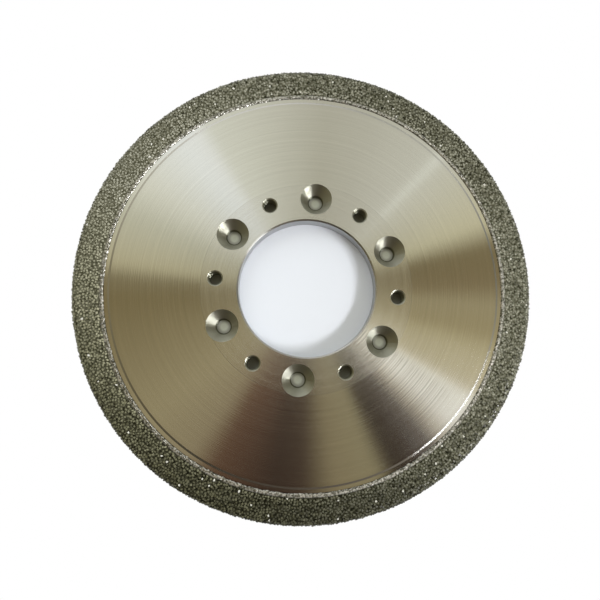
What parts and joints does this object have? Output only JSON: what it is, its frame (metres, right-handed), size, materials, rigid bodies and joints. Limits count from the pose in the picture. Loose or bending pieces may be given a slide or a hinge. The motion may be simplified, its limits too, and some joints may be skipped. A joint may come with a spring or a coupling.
{
  "type": "diamond grinding wheel",
  "caption": "Flat steel grinding wheel with a flange bore, a ring of countersunk and tapped holes, and nickel-bonded diamond grit wrapped round its rounded rim.",
  "frame": {"origin": "centre of the bore in the plane of the rear seat, on which the wheel lies", "axes": "+Z along the bore axis, out of the front face, which has the countersinks; +Y passes through the centre of one countersunk hole"},
  "size_m": [0.3, 0.3, 0.012],
  "materials": {
    "core_steel": "turned bright steel with fine circular tool marks",
    "nickel": "dull bright electroplated nickel",
    "grit": "coarse diamond grains standing out of nickel"
  },
  "bodies": {
    "root": {"wheel_core": "core_steel", "nickel_bond": "nickel", "diamond_grit": "grit"}
  },
  "joints": []
}
